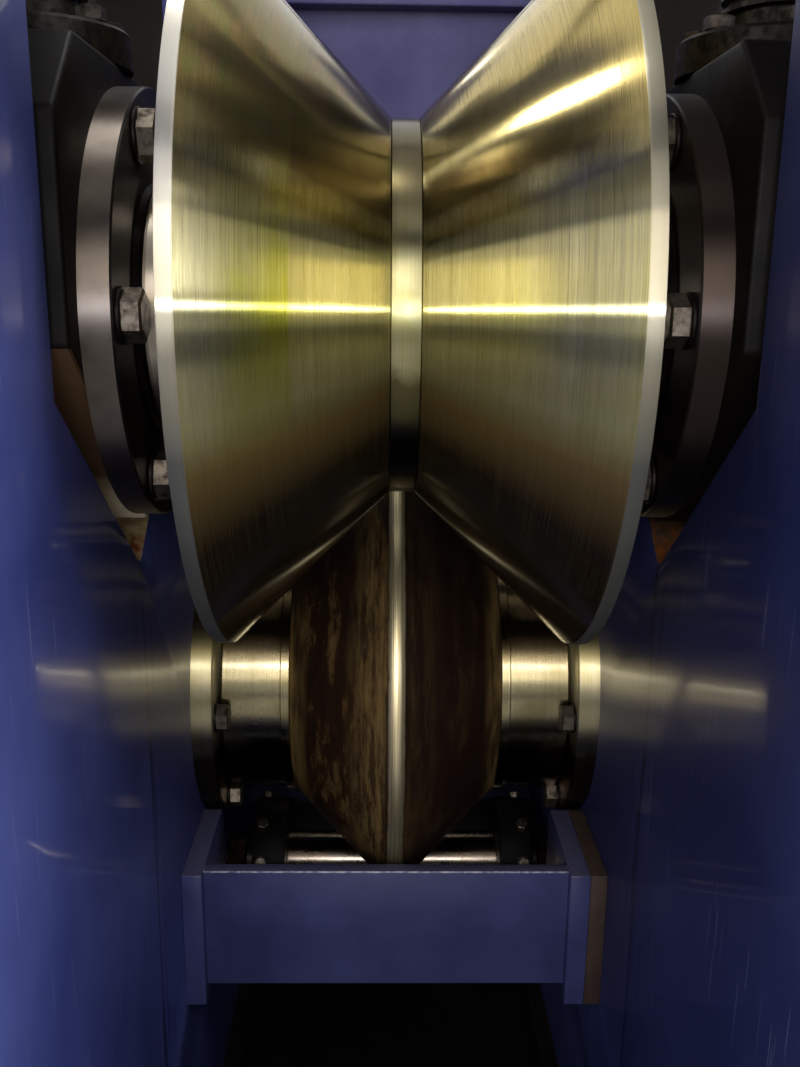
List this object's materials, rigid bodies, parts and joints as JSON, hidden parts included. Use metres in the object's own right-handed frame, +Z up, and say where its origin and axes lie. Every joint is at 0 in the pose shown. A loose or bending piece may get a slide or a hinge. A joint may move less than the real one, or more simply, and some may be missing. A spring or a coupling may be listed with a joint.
{
  "type": "multi-roll straightening machine",
  "caption": "Straightening machine for steel angles: staggered V-groove upper rolls on screw-down chocks and convex lower rolls between two thick blue side frames.",
  "frame": {"origin": "on the floor, under the middle of the machine", "axes": "+Z up, X along the roll axes with the drive ends at +X, +Y along the pass line"},
  "size_m": [1.16, 3.4, 2.015],
  "materials": {
    "frame_blue": "glossy machine enamel, deep blue",
    "beam_blue": "satin machine enamel, blue",
    "roll_steel": "turned and polished roll steel with an oil film",
    "ring_steel": "ground ring steel",
    "shaft_steel": "turned shaft steel",
    "chock_black": "oily cast steel, nearly black",
    "scaled_roll": "roll steel under dark mill scale and rust",
    "nose_steel": "steel polished bright by the angle",
    "housing_steel": "machined flange, oiled and yellowed",
    "rusty_plate": "bare plate with brown rust",
    "screw_steel": "cut screw steel with grease",
    "box_blue": "gear box enamel, blue",
    "bar_steel": "ground bright bar",
    "block_black": "blackened steel block",
    "bed_black": "dark bed paint under oil and scale"
  },
  "bodies": {
    "frame": {"lower_bearing_housings": "housing_steel", "lower_end_covers": "chock_black", "side_frame_left": "frame_blue", "side_frame_right": "frame_blue", "upper_tie_beams": "beam_blue", "end_tie_bars": "beam_blue", "lower_tie_beams": "beam_blue", "cap_plates": "beam_blue", "screw_boxes": "box_blue", "worm_cross_shafts": "screw_steel", "cross_plates": "beam_blue", "plate_cheeks_left": "beam_blue", "plate_cheeks_right": "beam_blue", "packing_plates": "rusty_plate", "tie_bars": "bar_steel", "tie_bar_blocks": "block_black", "base_rails": "bed_black", "base_sleepers": "bed_black", "scale_trough": "bed_black"},
    "upper_unit_1": {"upper_chocks_1": "chock_black", "lifting_screws_1": "screw_steel"},
    "upper_roll_1": {"upper_roll_1_cones": "roll_steel", "upper_roll_1_spacer": "ring_steel", "upper_roll_1_shaft": "shaft_steel"},
    "upper_unit_2": {"upper_chocks_2": "chock_black", "lifting_screws_2": "screw_steel"},
    "upper_roll_2": {"upper_roll_2_cones": "roll_steel", "upper_roll_2_spacer": "ring_steel", "upper_roll_2_shaft": "shaft_steel"},
    "upper_unit_3": {"upper_chocks_3": "chock_black", "lifting_screws_3": "screw_steel"},
    "upper_roll_3": {"upper_roll_3_cones": "roll_steel", "upper_roll_3_spacer": "ring_steel", "upper_roll_3_shaft": "shaft_steel"},
    "upper_unit_4": {"upper_chocks_4": "chock_black", "lifting_screws_4": "screw_steel"},
    "upper_roll_4": {"upper_roll_4_cones": "roll_steel", "upper_roll_4_spacer": "ring_steel", "upper_roll_4_shaft": "shaft_steel"},
    "lower_roll_1": {"lower_roll_1_cones": "scaled_roll", "lower_roll_1_nose_ring": "nose_steel", "lower_roll_1_shaft": "shaft_steel"},
    "lower_roll_2": {"lower_roll_2_cones": "scaled_roll", "lower_roll_2_nose_ring": "nose_steel", "lower_roll_2_shaft": "shaft_steel"},
    "lower_roll_3": {"lower_roll_3_cones": "scaled_roll", "lower_roll_3_nose_ring": "nose_steel", "lower_roll_3_shaft": "shaft_steel"}
  },
  "joints": [
    {"name": "screw_down_1", "type": "slide", "parent": "frame", "child": "upper_unit_1", "axis": [0, 0, 1], "range_m": [-0.035, 0.09]},
    {"name": "upper_roll_1_turn", "type": "hinge", "parent": "upper_unit_1", "child": "upper_roll_1", "pos_m": [0, -1.2, 1.25], "axis": [1, 0, 0], "continuous": true},
    {"name": "screw_down_2", "type": "slide", "parent": "frame", "child": "upper_unit_2", "axis": [0, 0, 1], "range_m": [-0.035, 0.09]},
    {"name": "upper_roll_2_turn", "type": "hinge", "parent": "upper_unit_2", "child": "upper_roll_2", "pos_m": [0, -0.4, 1.25], "axis": [1, 0, 0], "continuous": true},
    {"name": "screw_down_3", "type": "slide", "parent": "frame", "child": "upper_unit_3", "axis": [0, 0, 1], "range_m": [-0.035, 0.09]},
    {"name": "upper_roll_3_turn", "type": "hinge", "parent": "upper_unit_3", "child": "upper_roll_3", "pos_m": [0, 0.4, 1.25], "axis": [1, 0, 0], "continuous": true},
    {"name": "screw_down_4", "type": "slide", "parent": "frame", "child": "upper_unit_4", "axis": [0, 0, 1], "range_m": [-0.035, 0.09]},
    {"name": "upper_roll_4_turn", "type": "hinge", "parent": "upper_unit_4", "child": "upper_roll_4", "pos_m": [0, 1.2, 1.25], "axis": [1, 0, 0], "continuous": true},
    {"name": "lower_roll_1_turn", "type": "hinge", "parent": "frame", "child": "lower_roll_1", "pos_m": [0, -0.8, 0.75], "axis": [1, 0, 0], "continuous": true},
    {"name": "lower_roll_2_turn", "type": "hinge", "parent": "frame", "child": "lower_roll_2", "pos_m": [0, 0, 0.75], "axis": [1, 0, 0], "continuous": true},
    {"name": "lower_roll_3_turn", "type": "hinge", "parent": "frame", "child": "lower_roll_3", "pos_m": [0, 0.8, 0.75], "axis": [1, 0, 0], "continuous": true}
  ]
}
